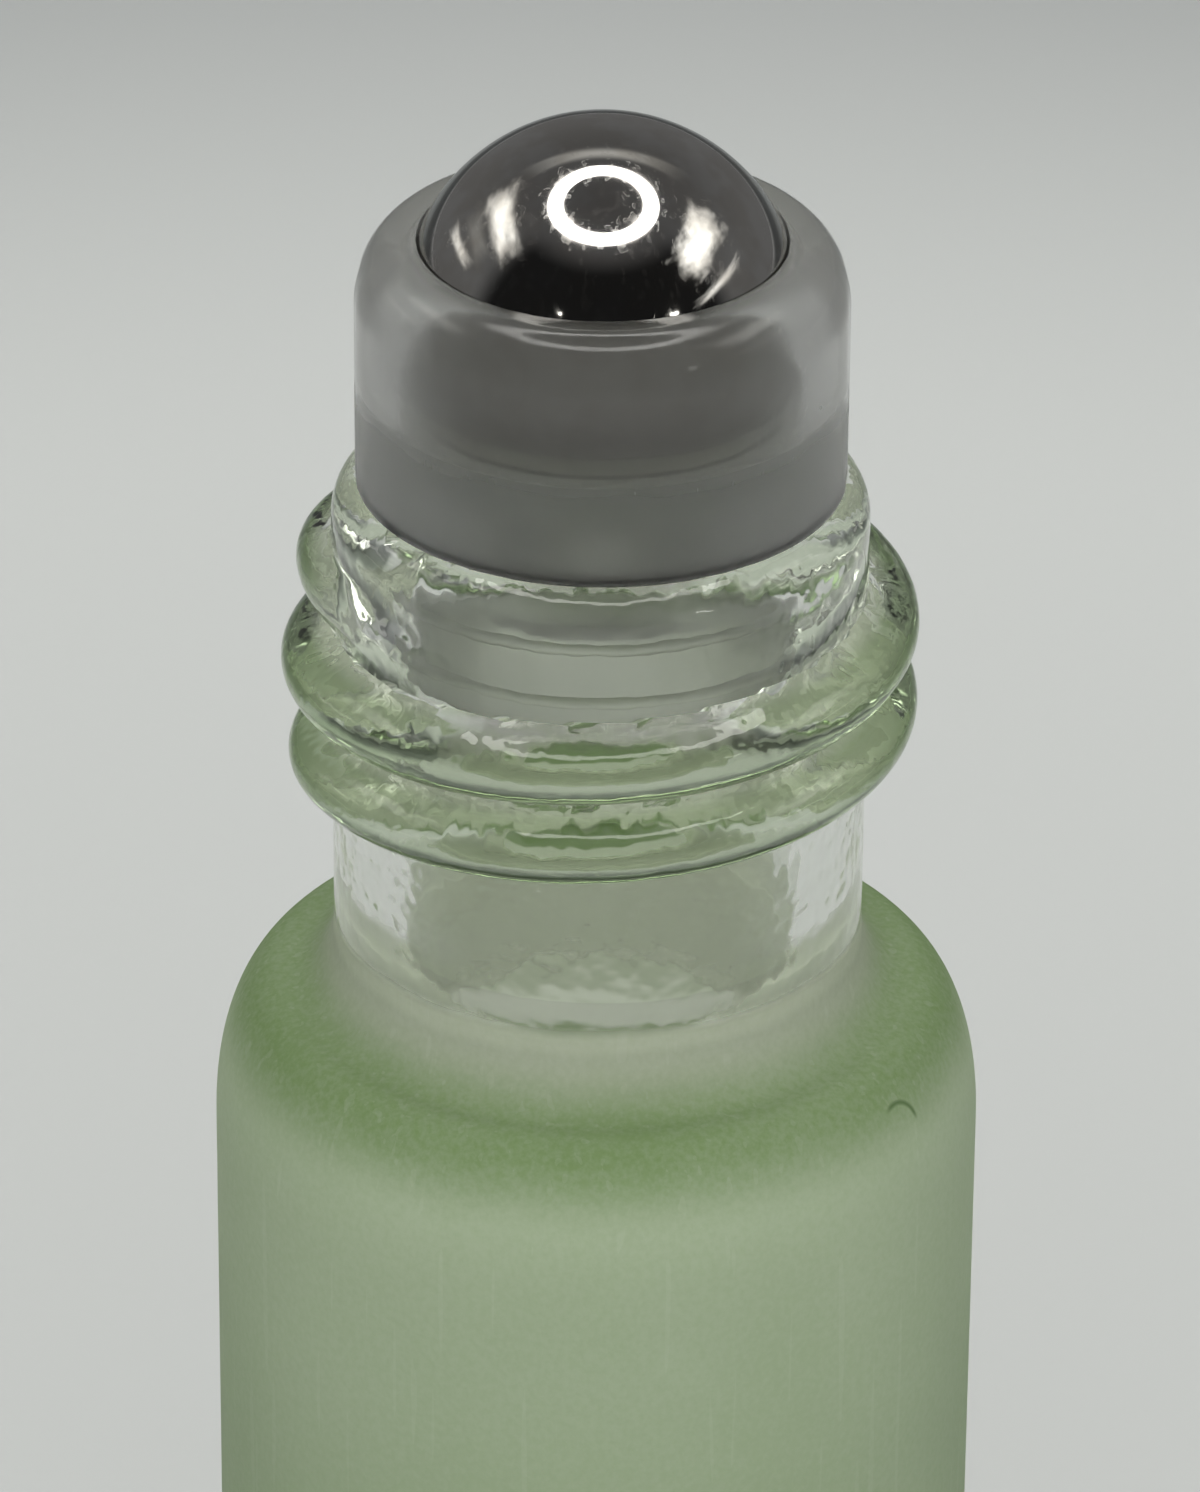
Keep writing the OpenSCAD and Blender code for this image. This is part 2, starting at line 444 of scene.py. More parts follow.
def makePanel(values, number, shape, tone, mirrored=True):
    # A lit panel facing the object's top; its number sets how its soft edges wander
    bearing, elevation, width, height, tilt, strength, edge, ragged = shape
    reach = values["reach"]
    material, tree, output = startMaterial("panel")
    place, parts = addPlace(tree, "Generated")
    rim = joinMath(tree, "MAXIMUM", *[
        joinMath(tree, "ABSOLUTE", joinMath(tree, "SUBTRACT", parts[axis], 0.5), 0) for axis in ("X", "Y")])
    noise = addNode(tree, "ShaderNodeTexNoise", {
        "Scale": values["raggedScale"], "Detail": 2.0}, noise_dimensions="4D")
    noise.inputs["W"].default_value = values["raggedStep"] * number
    tree.links.new(place, noise.inputs["Vector"])
    wander = joinMath(tree, "MULTIPLY", joinMath(tree, "SUBTRACT", noise.outputs[0], 0.5), ragged)
    glow = addNode(tree, "ShaderNodeEmission", {"Color": (*tone, 1), "Strength": strength})
    mix = addNode(tree, "ShaderNodeMixShader")
    lit = addRange(tree, joinMath(tree, "ADD", rim, wander), 0.5 - edge, 0.5, 1.0, 0.0)
    tree.links.new(lit, mix.inputs[0])
    tree.links.new(addNode(tree, "ShaderNodeBsdfTransparent").outputs[0], mix.inputs[1])
    tree.links.new(glow.outputs[0], mix.inputs[2])
    tree.links.new(mix.outputs[0], output.inputs["Surface"])
    turn, rise, roll = math.radians(bearing), math.radians(elevation), math.radians(tilt)
    away = Vector((math.sin(turn) * math.cos(rise), -math.cos(turn) * math.cos(rise), math.sin(rise)))
    level = Vector((0, 0, 1)).cross(away).normalized()
    up = away.cross(level)
    level, up = level * math.cos(roll) + up * math.sin(roll), up * math.cos(roll) - level * math.sin(roll)
    halfWide = reach * math.tan(math.radians(width / 2)) * mm
    halfHigh = reach * math.tan(math.radians(height / 2)) * mm
    mesh = bpy.data.meshes.new("panel")
    corners = [(x * halfWide, y * halfHigh, 0) for x, y in ((-1, -1), (1, -1), (1, 1), (-1, 1))]
    mesh.from_pydata(corners, [], [(0, 1, 2, 3)])
    mesh.materials.append(material)
    panel = linkMesh("panel", mesh)
    spot = Matrix((level, up, away)).transposed().to_4x4()
    spot.translation = away * reach * mm + Vector((0, 0, cadHigh.z))
    panel.matrix_world = spot
    panel.visible_camera = False
    panel.visible_glossy = panel.visible_transmission = mirrored
    return panel


def makePanels(values, soft):
    for number, shape in enumerate(values["shapes"]):
        makePanel(values, number, shape, values["tone"])
    makePanel(values, 0, soft["front"], soft["tone"], mirrored=False)
    back = makePanel(values, 1, soft["back"], soft["tone"], mirrored=False)
    back.visible_transmission = True


def makeRoom(values):
    # Pale all round and a little brighter behind the camera; polished things mirror a dimmer room, dark there
    cycles = bpy.context.scene.cycles
    cycles.max_bounces = cycles.transmission_bounces = cycles.glossy_bounces = values["lightPaths"]
    cycles.volume_bounces = values["milkPaths"]
    world = bpy.data.worlds.new("room")
    bpy.context.scene.world = world
    world.use_nodes = True
    tree = world.node_tree
    tree.nodes.clear()
    output = addNode(tree, "ShaderNodeOutputWorld")
    parts = addPlace(tree, "Generated")[1]
    front = addRange(tree, parts["Y"], *values["frontSpan"], 1.0, 0.0)
    low = addRange(tree, parts["Z"], *values["lowSpan"], 1.0, 0.0)
    behindCamera = joinMath(tree, "MULTIPLY", front, low)
    high = addNode(tree, "ShaderNodeMapRange", {
        "From Min": values["highSpan"][0], "From Max": values["highSpan"][1],
        "To Min": values["dim"], "To Max": values["overhead"]})
    tree.links.new(parts["Z"], high.inputs["Value"])
    seen = addNode(tree, "ShaderNodeMapRange", {"To Min": values["pale"], "To Max": values["bright"]})
    reflected = addNode(tree, "ShaderNodeMapRange", {"To Max": values["dark"]})
    tree.links.new(high.outputs[0], reflected.inputs["To Min"])
    glows = []
    for level in (seen, reflected):
        tree.links.new(behindCamera, level.inputs["Value"])
        glow = addNode(tree, "ShaderNodeBackground")
        tree.links.new(level.outputs[0], glow.inputs["Color"])
        glows.append(glow)
    path = addNode(tree, "ShaderNodeLightPath")
    mirrored = joinMath(
        tree, "SUBTRACT", path.outputs["Is Glossy Ray"], path.outputs["Is Transmission Ray"])
    mix = addNode(tree, "ShaderNodeMixShader")
    tree.links.new(joinMath(tree, "MAXIMUM", mirrored, 0.0), mix.inputs[0])
    tree.links.new(glows[0].outputs[0], mix.inputs[1])
    tree.links.new(glows[1].outputs[0], mix.inputs[2])
    tree.links.new(mix.outputs[0], output.inputs["Surface"])


bpy.context.scene.view_settings.view_transform = "Standard"
makeCamera(studio)
makeFloor(floor)
makeRing(ringLamp)
makePanels(panels, softLamps)
makeRoom(room)
print("stage: studio")


# Glass bottle

bottle = {
    "bodyHeight": 56.1,
    "wall": 1.8,
    "base": 1.8,
    "heel": 1.6,
    "floorCorner": 1.8,
    "punt": 0.8,
    "ring": 1.0,
    "shoulder": 4.05,
    "sweepHeight": 1.8,
    "sweepWidth": 1.2,
    "shoulderPower": 2.2,
    "neckRadius": 6.8,
    "boreRadius": 5.1,
    "lip": 1.0,
    "lipInside": 0.35,
    "boreEdge": 0.4,
    "cavityDrop": 1.0,
    "throatRadius": 4.0,
    "funnelRise": 0.6,
    "columns": 256,
    "neckRow": 0.09,
    "rows": {
        "punt": 8, "heel": 14, "body": 40, "shoulder": 28, "sweep": 18, "lip": 12, "lipInside": 6,
        "bore": 30, "funnel": 24, "boreEdge": 8, "cavity": 20, "wall": 30, "corner": 8, "floor": 8,
    },
}
thread = {
    "crestRadius": 8.1,
    "pitch": 2.25,
    "width": 2.1,
    "turns": 2.22,
    "fade": 70,  # degrees over which each end rises
    "drop": 2.62,  # from the lip to the middle of the top end
    "end": 305,  # degrees from the front to the top end
    "sink": 0.324,  # how deep in the neck the ridge's curve starts
    "fillet": 0.3,
    "runout": 1.5,  # how steeply the curve falls away inside the neck
}


def threadRadius(angle, height, lipHeight, plain):
    # Radius of the neck with the thread's ridge, at an angle from the front
    radius = plain
    rise = thread["crestRadius"] - bottle["neckRadius"] + thread["sink"]
    half = thread["width"] / 2 / math.sqrt(1 - (thread["sink"] / rise) ** 2)
    low = thread["end"] - 360 * thread["turns"]
    turn = angle % 360 - 360 * math.ceil(thread["turns"] + 1)
    while turn <= thread["end"]:
        if turn >= low:
            share = min(1, (turn - low) / thread["fade"], (thread["end"] - turn) / thread["fade"])
            lift = rise * math.sin(math.pi / 2 * share)
            middle = lipHeight - thread["drop"] - thread["pitch"] * (thread["end"] - turn) / 360
            across = abs(height - middle) / half
            bump = math.sqrt(1 - across ** 2) if across < 1 else thread["runout"] * (1 - across)
            ridge = bottle["neckRadius"] - thread["sink"] + lift * bump
            near = max(0, thread["fillet"] - abs(radius - ridge)) / thread["fillet"]
            radius = max(radius, ridge) + near ** 2 * thread["fillet"] / 4
        turn += 360
    return radius


def bottleOutside(values, lipHeight, bodyRadius):
    # Points of radius and height from the base up to the neck, and on over the lip
    shoulderTop = values["bodyHeight"] + values["shoulder"]
    neckFoot = shoulderTop + values["sweepHeight"]
    heel, punt, lip, count = values["heel"], values["punt"], values["lip"], values["rows"]
    ringRadius = bodyRadius - heel
    puntRadius = ringRadius - values["ring"]
    shoulderRadius = values["neckRadius"] + values["sweepWidth"]
    outside = [(0, punt)]
    outside += straight((0, punt), (puntRadius - punt, punt), count["punt"])
    outside += ellipseArc((puntRadius - punt, 0), punt, punt, 90, 0, count["punt"])
    outside += ellipseArc((ringRadius, heel), heel, heel, 270, 360, count["heel"])
    outside += straight((bodyRadius, heel), (bodyRadius, values["bodyHeight"]), count["body"])
    outside += ellipseArc(
        (shoulderRadius, values["bodyHeight"]), bodyRadius - shoulderRadius, values["shoulder"],
        0, 90, count["shoulder"], values["shoulderPower"])
    outside += ellipseArc(
        (shoulderRadius, neckFoot), values["sweepWidth"], values["sweepHeight"], 270, 180, count["sweep"])[1:]
    steps = math.ceil((lipHeight - lip - neckFoot) / values["neckRow"])
    neck = straight((values["neckRadius"], neckFoot), (values["neckRadius"], lipHeight - lip), steps)
    neck += ellipseArc((values["neckRadius"] - lip, lipHeight - lip), lip, lip, 0, 90, count["lip"])
    return outside, neck


def bottleInside(values, lipHeight, bodyRadius):
    # Points of radius and height from the lip down the bore, through the funnel, and down the cavity
    shoulderTop = values["bodyHeight"] + values["shoulder"]
    neckFoot = shoulderTop + values["sweepHeight"]
    cavityTop = shoulderTop - values["wall"] * values["cavityDrop"]
    innerRadius = bodyRadius - values["wall"]
    floorHeight = values["punt"] + values["base"]
    bore, throat, corner = values["boreRadius"], values["throatRadius"], values["floorCorner"]
    lipInside, edge, count = values["lipInside"], values["boreEdge"], values["rows"]
    funnelTop = neckFoot + values["funnelRise"]
    inside = ellipseArc(
        (bore + lipInside, lipHeight - lipInside), lipInside, lipInside, 90, 180, count["lipInside"])
    inside += straight((bore, lipHeight - lipInside), (bore, funnelTop), count["bore"])
    funnel = []
    for i in range(count["funnel"]):
        down = i / count["funnel"]
        share = (1 - math.cos(math.pi * down)) / 2
        funnel.append((bore - (bore - throat) * share, funnelTop - (funnelTop - cavityTop - edge) * down))
    funnel += ellipseArc((throat + edge, cavityTop + edge), edge, edge, 180, 270, count["boreEdge"])
    cavity = ellipseArc(
        (throat + edge, values["bodyHeight"]), innerRadius - throat - edge, cavityTop - values["bodyHeight"],
        90, 0, count["cavity"], values["shoulderPower"])[1:]
    cavity += straight(
        (innerRadius, values["bodyHeight"]), (innerRadius, floorHeight + corner), count["wall"])
    cavity += ellipseArc(
        (innerRadius - corner, floorHeight + corner), corner, corner, 360, 270, count["corner"])
    cavity += straight((innerRadius - corner, floorHeight), (0, floorHeight), count["floor"])
    cavity += [(0, floorHeight)]
    return inside, funnel, cavity


def makeBottle(values, clear, frosted, shadedThroat):
    low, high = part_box("glass_bottle")
    lipHeight = high.z / mm
    bodyRadius = (high.x - low.x) / 2 / mm
    points = *bottleOutside(values, lipHeight, bodyRadius), *bottleInside(values, lipHeight, bodyRadius)
    kinds = ("outside", "neck", "inside", "funnel", "inside")
    rows = [(*point, kind) for kind, line in zip(kinds, points) for point in line]
    slots = {"inside": 0, "outside": 1, "neck": 1, "funnel": 2}
    columns = values["columns"]

    def pointAt(row, column):
        radius, height, kind = rows[row]
        angle = 360 * column / columns
        if kind == "neck":
            radius = threadRadius(angle, height, lipHeight, radius)
        return turned(radius, height, angle)

    def slotAt(row):
        return slots[rows[row][2]]

    piece = roundShell("frosted_bottle", columns, len(rows), pointAt, slotAt, (clear, frosted, shadedThroat))
    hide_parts("glass_bottle")
    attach(piece, "bottle")


# The thread's painted green light sets in between two radii, and its painted shade at the edge between two
# tilts
glass = {
    "tone": (0.86, 0.88, 0.84),
    "threadPaintedGlow": (0.58, 0.68, 0.48),
    "threadPaintedShade": (0.20, 0.30, 0.14),
    "threadLow": 6.85,
    "threadHigh": 7.5,
    "steepLow": 0.15,
    "steepHigh": 0.65,
    "refraction": 1.5,
    "smooth": 0.02,
    "hazy": 0.07,
    "waves": 800,
    "waveDepth": 0.065,
}
# The wavy funnel at the foot of the bore, given a greyer tone than the rest as painted shade
throatGlass = {
    # Painted shade: a greyer tone than the rest of the glass
    "tone": (0.70, 0.70, 0.69),
    "smooth": 0.06,
    "hazy": 0.16,
    "waveDepth": 0.05,
}
# The coat's tone at the base and, going up, the heights between which it changes to each next tone:
# first as seen from outside, then as seen from inside the glass; both carry painted light and shade
frost = {
    "body": (0.47, 0.58, 0.39),
    "outside": [
        # Painted shade on the shoulder's top
        (58.0, 60.0, (0.20, 0.31, 0.12)),
        # Painted highlight at the neck's foot, lighter still at the coat's edge
        (60.0, 61.6, (0.47, 0.53, 0.40)),
        (61.6, 62.0, (0.58, 0.64, 0.50)),
    ],
    # Seen from inside the glass: painted light and shade for the bottle's lit inside, as it shows through the
    # neck
    "depth": (0.28, 0.40, 0.18),
    "inside": [
        (48.0, 49.5, (0.88, 0.92, 0.83)),
        (54.0, 55.5, (0.54, 0.60, 0.46)),
        (59.8, 60.8, (0.72, 0.79, 0.63)),
    ],
    "roughness": 0.65,
    "clearness": 0.3,
    "through": 0.45,
    "grains": 5200,
    "grainDepth": 0.006,
    "grainShare": 0.6,
    "grainRough": 0.12,
    "clouds": 160,
    "mottle": 0.11,
    "scuffs": 2600,
    "scuffShare": 0.05,
    "dust": 700,
    "dustShare": 0.15,
    "wander": 420,
    "wanderHeight": 0.25,
    "edgeLow": 62.17,
    "edgeHigh": 62.67,
    "flawPlace": (7.75, -5.4, 58.75),
    "flawRadius": 0.65,
    "flawWidth": 0.11,
    "flawSlope": 0.73,
    "flawCut": 0.5,
    "flawFade": 0.1,
    "flawTone": (0.12, 0.20, 0.08),
}


def addClearGlass(tree, values):
    waves = placeGroup(tree, grainGroup, Fineness=values["waves"], Seed=2.0)
    rough = addRange(tree, waves, *narrowSpan, values["smooth"], values["hazy"])
    return addSurface(tree, {
        "Base Color": (*values["tone"], 1), "IOR": values["refraction"], "Transmission Weight": 1.0,
    }, rough, addBump(tree, waves, 1.0, values["waveDepth"]), None)


def makeClearGlass(name, values):
    material, tree, output = startMaterial(name)
    tree.links.new(addClearGlass(tree, values).outputs[0], output.inputs["Surface"])
    return material


def addFlaw(tree, place, height, across, values):
    # A small crescent flaw at the right of the shoulder: a ring round a place on the coat, cut on a slant
    middle = values["flawPlace"]
    away = addNode(
        tree, "ShaderNodeVectorMath", {1: tuple(value * mm for value in middle)}, operation="DISTANCE")
    tree.links.new(place, away.inputs[0])
    reach = joinMath(tree, "MULTIPLY", away.outputs["Value"], 1 / mm)
    off = joinMath(tree, "ABSOLUTE", joinMath(tree, "SUBTRACT", reach, values["flawRadius"]), 0)
    arc = addRange(tree, off, 0.0, values["flawWidth"], 1.0, 0.0)
    rise = joinMath(tree, "ADD", height, joinMath(tree, "MULTIPLY", across, values["flawSlope"] / mm))
    cut = middle[2] + values["flawSlope"] * middle[0] + values["flawCut"] * values["flawRadius"]
    upper = addRange(tree, rise, cut - values["flawFade"], cut + values["flawFade"], 0.0, 1.0)
    return joinMath(tree, "MULTIPLY", arc, upper)


def addNeckGlass(tree, place, values):
    # Clear glass with painted green light on the thread, standing for light from the coat carried up the
    # glass, and painted shade where the thread turns from view
    surface = addClearGlass(tree, values)
    flat = addNode(tree, "ShaderNodeVectorMath", {1: (1 / mm, 1 / mm, 0)}, operation="MULTIPLY")
    reach = addNode(tree, "ShaderNodeVectorMath", operation="LENGTH")
    tree.links.new(place, flat.inputs[0])
    tree.links.new(flat.outputs[0], reach.inputs[0])
    onThread = addRange(tree, reach.outputs["Value"], values["threadLow"], values["threadHigh"], 0.0, 1.0)
    tilt = addNode(tree, "ShaderNodeLayerWeight", {"Blend": 0.5})
    steepShade = addRange(tree, tilt.outputs["Facing"], values["steepLow"], values["steepHigh"], 0.0, 1.0)
    ridge = addTone(tree, steepShade, values["threadPaintedGlow"], values["threadPaintedShade"])
    tree.links.new(addTone(tree, onThread, values["tone"], ridge), surface.inputs["Base Color"])
    return surface


def makeFrostedGlass(values, clear):
    # The clear glass of the neck, and the green etched coat of the shoulder and body
    material, tree, output = startMaterial("frosted glass")
    white = (1.0, 1.0, 1.0)
    place, parts = addPlace(tree)
    height = joinMath(tree, "MULTIPLY", parts["Z"], 1 / mm)
    wander = placeGroup(tree, grainGroup, Fineness=values["wander"], Seed=5.0)
    ragged = joinMath(tree, "ADD", height, joinMath(tree, "MULTIPLY", wander, values["wanderHeight"]))
    coat = addRange(tree, ragged, values["edgeLow"], values["edgeHigh"], 1.0, 0.0)
    grains = placeGroup(tree, grainGroup, Fineness=values["grains"], Contrast=1.6, Seed=1.0)
    cloudy = placeGroup(tree, grainGroup, Fineness=values["clouds"], Contrast=1.4, Seed=4.0)
    scuffs = placeGroup(tree, scratchesGroup, Fineness=values["scuffs"], Stretch=0.04, Depth=0.72)
    dust = placeGroup(tree, specksGroup, Fineness=values["dust"], Size=0.09, Share=0.03)
    # Outside faces take the outside tones and inside faces the inside ones, each with painted light and shade
    faces = addNode(tree, "ShaderNodeNewGeometry")
    coatToneAndPaintedLight = addTone(
        tree, faces.outputs["Backfacing"],
        addBands(tree, ragged, values["body"], values["outside"]),
        addBands(tree, ragged, values["depth"], values["inside"]))
    mottle = joinMath(
        tree, "ADD", joinMath(tree, "MULTIPLY", grains, values["grainShare"]),
        joinMath(tree, "MULTIPLY", cloudy, 1 - values["grainShare"]))
    pale = addTone(tree, addRange(tree, mottle, *wideSpan, 0.0, values["mottle"]), coatToneAndPaintedLight, white)
    marks = joinMath(
        tree, "MAXIMUM", joinMath(tree, "MULTIPLY", scuffs, values["scuffShare"]),
        joinMath(tree, "MULTIPLY", dust, values["dustShare"]))
    pale = addTone(tree, marks, pale, white)
    pale = addTone(tree, addFlaw(tree, place, height, parts["X"], values), pale, values["flawTone"])
    coarse = joinMath(
        tree, "ADD", joinMath(tree, "MULTIPLY", grains, values["grainRough"]),
        values["roughness"] - values["grainRough"] / 2)
    surface = addSurface(
        tree, {"IOR": clear["refraction"], "Transmission Weight": values["clearness"]},
        coarse, addBump(tree, grains, 1.0, values["grainDepth"]), pale)
    through = addNode(tree, "ShaderNodeBsdfTranslucent")
    tree.links.new(pale, through.inputs["Color"])
    coated = addNode(tree, "ShaderNodeMixShader", {"Fac": values["through"]})
    tree.links.new(surface.outputs[0], coated.inputs[1])
    tree.links.new(through.outputs[0], coated.inputs[2])
    mix = addNode(tree, "ShaderNodeMixShader")
    tree.links.new(coat, mix.inputs[0])
    tree.links.new(addNeckGlass(tree, place, clear).outputs[0], mix.inputs[1])
    tree.links.new(coated.outputs[0], mix.inputs[2])
    tree.links.new(mix.outputs[0], output.inputs["Surface"])
    return material


makeBottle(
    bottle, makeClearGlass("clear glass", glass), makeFrostedGlass(frost, glass),
    makeClearGlass("shaded throat glass", {**glass, **throatGlass}))
print("stage: bottle")


# Ball housing

housing = {
    "skirt": 0.1,
    "crownHeight": 1.75,
    "crownWidth": 1.15,
    "ballRadius": 5.0,
    "play": 0.06,
    "ledgeDrop": 2.2,
    "wellRadius": 3.2,
    "wellSink": 0.2,
    "feedRadius": 1.2,
    "floor": 1.0,
    "plugWall": 1.0,
    "plugLead": 0.4,
    "plugGap": 0.18,
    "bead": 0.15,
    "beadCount": 2,
    "beadPitch": 1.5,
    "ribCount": 6,
    "ribWidth": 0.7,
    "ribFlank": 0.2,  # degrees
    "columns": 240,
    "rows": {"bead": 8, "skirt": 6, "wall": 10, "crown": 18, "socket": 12, "seat": 12, "well": 8, "under": 4},
}


def housingOutlines(values):
    # Closed outlines through a rib of the well and between the ribs, and the rows that take a darker skin
    # as painted shade round the ball, which are those of the socket without its ledge
    low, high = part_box("ball_housing")
    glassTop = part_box("glass_bottle")[1].z / mm
    ballLow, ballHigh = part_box("roller_ball")
    ballHeight = (ballLow.z + ballHigh.z) / 2 / mm
    rim, foot, outer = high.z / mm, low.z / mm, (high.x - low.x) / 2 / mm
    skirt, crownWidth, crownHeight = values["skirt"], values["crownWidth"], values["crownHeight"]
    socket = values["ballRadius"] + values["play"]
    plugRadius = bottle["boreRadius"] - values["plugGap"]
    hollow = plugRadius - values["plugWall"]
    well, feed = values["wellRadius"], values["feedRadius"]
    wellFloor = ballHeight - socket - values["wellSink"] * well
    ceiling = wellFloor - values["floor"]
    lead, bead, count = values["plugLead"], values["bead"], values["rows"]
    outside = [(hollow, foot), (plugRadius - lead, foot), (plugRadius, foot + lead)]
    for i in range(values["beadCount"]):
        middle = foot + lead + values["beadPitch"] / 2 + i * values["beadPitch"]
        outside += ellipseArc((plugRadius, middle), bead, bead, -90, 90, count["bead"])
    outside += [(plugRadius, glassTop)]
    outside += ellipseArc((outer - skirt, glassTop + skirt), skirt, skirt, 270, 360, count["skirt"])
    outside += straight((outer, glassTop + skirt), (outer, rim - crownHeight), count["wall"])
    outside += ellipseArc(
        (outer - crownWidth, rim - crownHeight), crownWidth, crownHeight, 0, 90, count["crown"])
    mouth = math.degrees(math.asin((rim - ballHeight) / socket))
    inside = ellipseArc((0, ballHeight), socket, socket, mouth, 0, count["socket"])
    inside += [(socket, ballHeight - values["ledgeDrop"])]
    ledge = len(outside) + len(inside) - 1
    ledgeTurn = -math.degrees(math.asin(values["ledgeDrop"] / socket))
    wellTurn = -math.degrees(math.acos(well / socket))
    inside += ellipseArc((0, ballHeight), socket, socket, ledgeTurn, wellTurn, count["seat"])
    feedTurn = -math.degrees(math.acos(feed / socket))
    ribRows = ellipseArc((0, ballHeight), socket, socket, wellTurn, feedTurn, 2 * count["well"])[1:]
    wallTop = inside[-1][1]
    gapRows = straight((well, wallTop), (well, wellFloor), count["well"]) + [(well, wellFloor)]
    gapRows += straight((well, wellFloor), (feed, wellFloor), count["well"]) + [(feed, wellFloor)]
    under = [(feed, ceiling)] + straight((feed, ceiling), (hollow, ceiling), count["under"])
    under += [(hollow, ceiling)]
    seat = range(len(outside), len(outside) + len(inside) - 1)
    return outside + inside + ribRows + under, outside + inside + gapRows + under, set(seat) - {ledge}


def makeHousing(values, plastics):
    # A lathed moulding whose outline differs at the ribs of the well
    ribbed, gapped, socketShade = housingOutlines(values)
    ribMiddle = (values["wellRadius"] + values["feedRadius"]) / 2
    half = math.degrees(values["ribWidth"] / 2 / ribMiddle)
    flank = half + values["ribFlank"]
    ribAngles = [(-flank, gapped), (-half, ribbed), (0, ribbed), (half, ribbed), (flank, gapped)]
    pitch = 360 / values["ribCount"]
    gap = pitch - 2 * flank
    plain = values["columns"] // values["ribCount"] - len(ribAngles)
    angles = []
    for i in range(values["ribCount"]):
        middle = (i + 0.5) * pitch
        angles += [(middle + offset, outline) for offset, outline in ribAngles]
        angles += [(middle + flank + gap * j / (plain + 1), gapped) for j in range(1, plain + 1)]
    shell = bmesh.new()
    rings = []
    for angle, outline in angles:
        rings.append([shell.verts.new(turned(radius, height, angle)) for radius, height in outline])
    for i, ring in enumerate(rings):
        other = rings[(i + 1) % len(rings)]
        for j in range(len(ring)):
            k = (j + 1) % len(ring)
            face = shell.faces.new((ring[j], other[j], other[k], ring[k]))
            # Rows of the socket take the darker copy, which is painted shade
            face.material_index = 1 if j in socketShade else 0
    piece = finishShell("housing_moulding", shell, plastics)
    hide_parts("ball_housing")
    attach(piece, "fitment")


milk = {
    "tone": (0.972, 0.972, 0.918),
    "density": 480,
    "forward": 0.78,
    "skin": (0.985, 0.99, 0.945),
    # A darker copy of the skin: painted shade in the socket round the ball
    "socketShade": (0.97, 0.97, 0.925),
    "lowerHaze": 0.28,
    "hazeLow": 76.6,
    "hazeHigh": 77.6,
    "refraction": 1.5,
    "smooth": 0.09,
    "hazy": 0.18,
    "peel": 2400,
    "peelDepth": 0.004,
    "flow": 300,
    "flowShade": 0.95,
    "scuffs": 2200,
    "scuffShare": 0.4,
    "dust": 1100,
    "markRough": 0.12,
}


def makePlastic(name, values, skin):
    # Clear plastic with fine milk in it, which scatters light inside the moulding;
    # its skin is hazier below the ledge
    material, tree, output = startMaterial(name)
    peel = placeGroup(tree, grainGroup, Fineness=values["peel"], Seed=6.0)
    flow = placeGroup(tree, grainGroup, Fineness=values["flow"], Contrast=1.6, Seed=7.0)
    scuffs = placeGroup(tree, scratchesGroup, Fineness=values["scuffs"], Stretch=0.05, Depth=0.68)
    dust = placeGroup(tree, specksGroup, Fineness=values["dust"], Size=0.10, Share=0.06)
    marks = joinMath(tree, "MAXIMUM", joinMath(tree, "MULTIPLY", scuffs, values["scuffShare"]), dust)
    base = addRange(tree, flow, *middleSpan, values["smooth"], values["hazy"])
    rough = joinMath(tree, "ADD", base, joinMath(tree, "MULTIPLY", marks, values["markRough"]))
    height = joinMath(tree, "MULTIPLY", addPlace(tree)[1]["Z"], 1 / mm)
    haze = addRange(tree, height, values["hazeLow"], values["hazeHigh"], values["lowerHaze"], 0.0)
    rough = joinMath(tree, "ADD", rough, haze)
    darker = tuple(values["flowShade"] * value for value in skin)
    tone = addTone(tree, addRange(tree, flow, *wideSpan, 0.0, 1.0), skin, darker)
    bump = addBump(tree, peel, 1.0, values["peelDepth"])
    surface = addSurface(tree, {"IOR": values["refraction"], "Transmission Weight": 1.0}, rough, bump, tone)
    tree.links.new(surface.outputs[0], output.inputs["Surface"])
    cloud = addNode(tree, "ShaderNodeVolumeScatter", {
        "Color": (*values["tone"], 1), "Density": values["density"], "Anisotropy": values["forward"]})
    tree.links.new(cloud.outputs[0], output.inputs["Volume"])
    return material


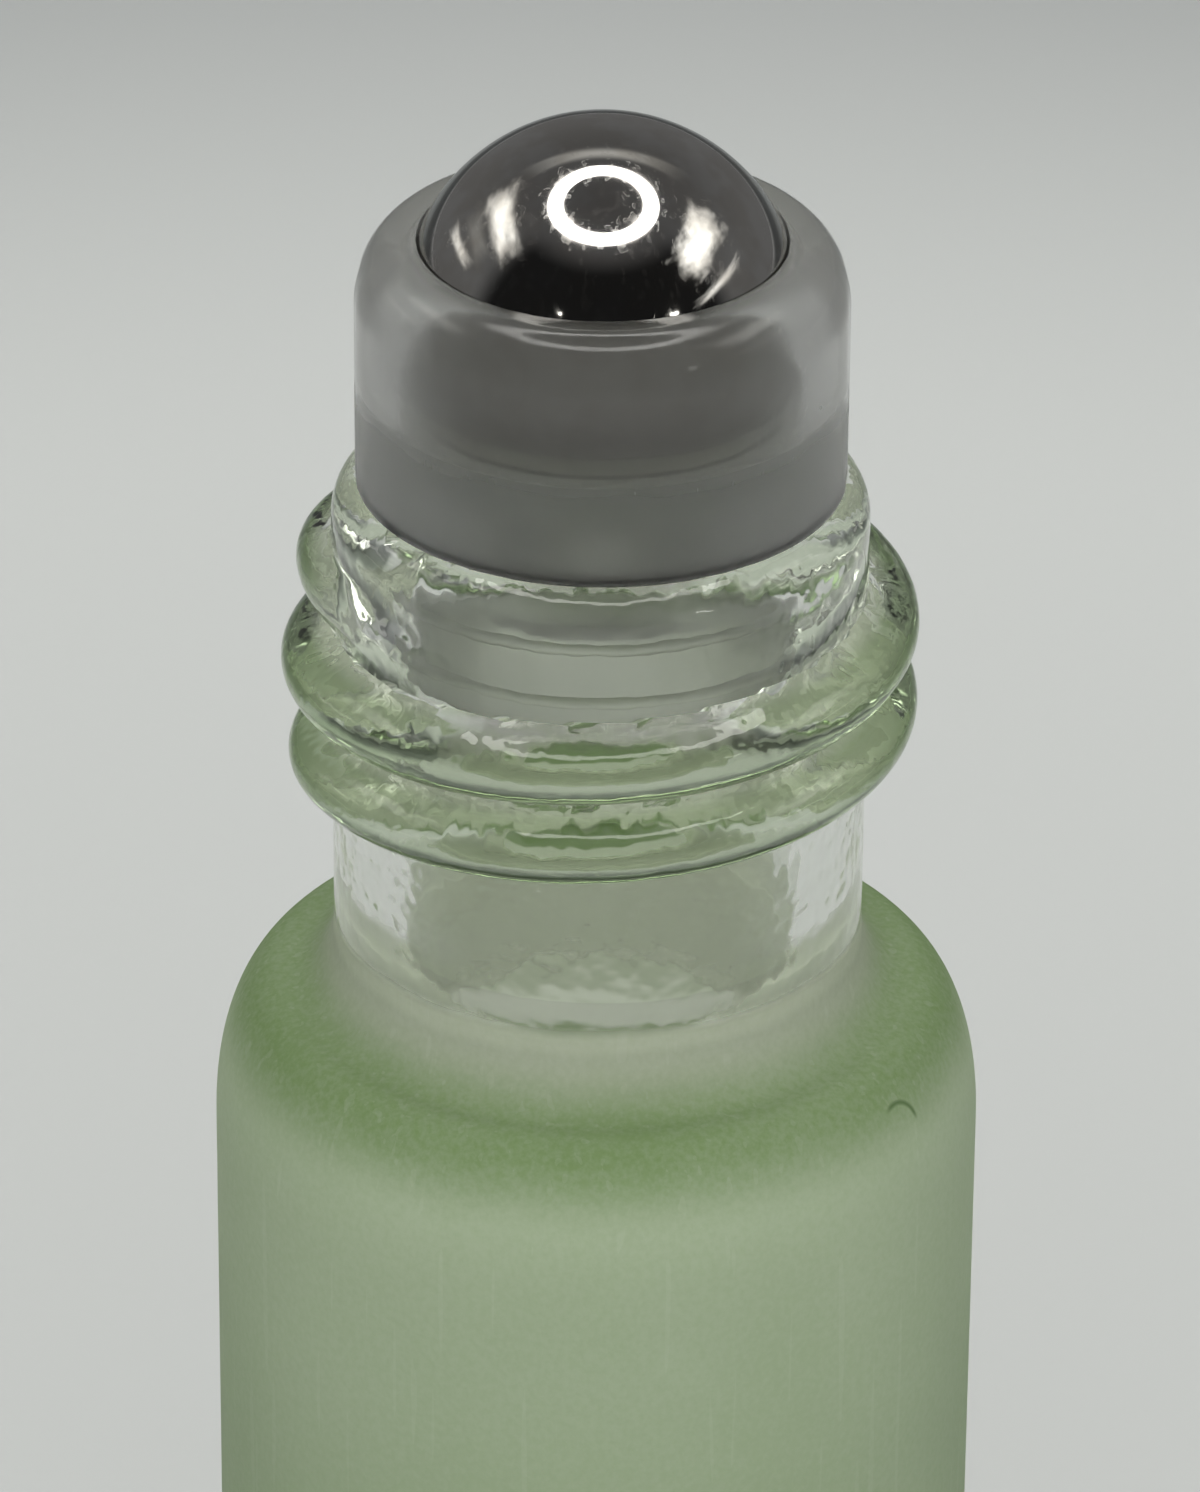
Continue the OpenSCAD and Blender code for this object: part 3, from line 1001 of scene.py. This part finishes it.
makeHousing(housing, [
    makePlastic("milky plastic", milk, milk["skin"]),
    makePlastic("socket plastic with painted shade", milk, milk["socketShade"]),
])
print("stage: housing")


# Steel ball

ball = {"cuts": 48}
steel = {
    "tone": (0.60, 0.59, 0.57),
    "dull": (0.53, 0.51, 0.48),
    "smooth": 0.045,
    "hazy": 0.085,
    "grains": 900,
    "hairlines": 3800,
    "hairlineShare": 0.4,
    "pits": 1300,
    "markRough": 0.12,
    "markStrength": 0.3,
    "markDepth": 0.0015,
}


def makeBall(values, material):
    # A cube of small squares, rounded to a ball
    low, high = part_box("roller_ball")
    radius = (high.x - low.x) / 2
    middle = (low + high) / 2
    shell = bmesh.new()
    bmesh.ops.create_cube(shell, size=2)
    bmesh.ops.subdivide_edges(shell, edges=shell.edges, cuts=values["cuts"], use_grid_fill=True)
    for vert in shell.verts:
        spread = Vector(math.tan(value * math.pi / 4) for value in vert.co)
        vert.co = middle + spread.normalized() * radius
    piece = finishShell("steel_ball", shell, [material])
    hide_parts("roller_ball")
    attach(piece, "ball")


def makeSteel(values):
    material, tree, output = startMaterial("polished steel")
    cloudy = placeGroup(tree, grainGroup, Fineness=values["grains"], Contrast=1.5, Seed=8.0)
    hairlines = placeGroup(tree, scratchesGroup, Fineness=values["hairlines"], Stretch=0.04, Depth=0.66)
    pits = placeGroup(tree, specksGroup, Fineness=values["pits"], Size=0.07, Share=0.04)
    marks = joinMath(tree, "MAXIMUM", joinMath(tree, "MULTIPLY", hairlines, values["hairlineShare"]), pits)
    base = addRange(tree, cloudy, *middleSpan, values["smooth"], values["hazy"])
    rough = joinMath(tree, "ADD", base, joinMath(tree, "MULTIPLY", marks, values["markRough"]))
    tone = addTone(tree, addRange(tree, cloudy, *middleSpan, 0.0, 1.0), values["tone"], values["dull"])
    bump = addBump(tree, joinMath(tree, "SUBTRACT", 0.5, marks), values["markStrength"], values["markDepth"])
    surface = addSurface(tree, {"Metallic": 1.0}, rough, bump, tone)
    tree.links.new(surface.outputs[0], output.inputs["Surface"])
    return material


makeBall(ball, makeSteel(steel))
print("stage: ball")
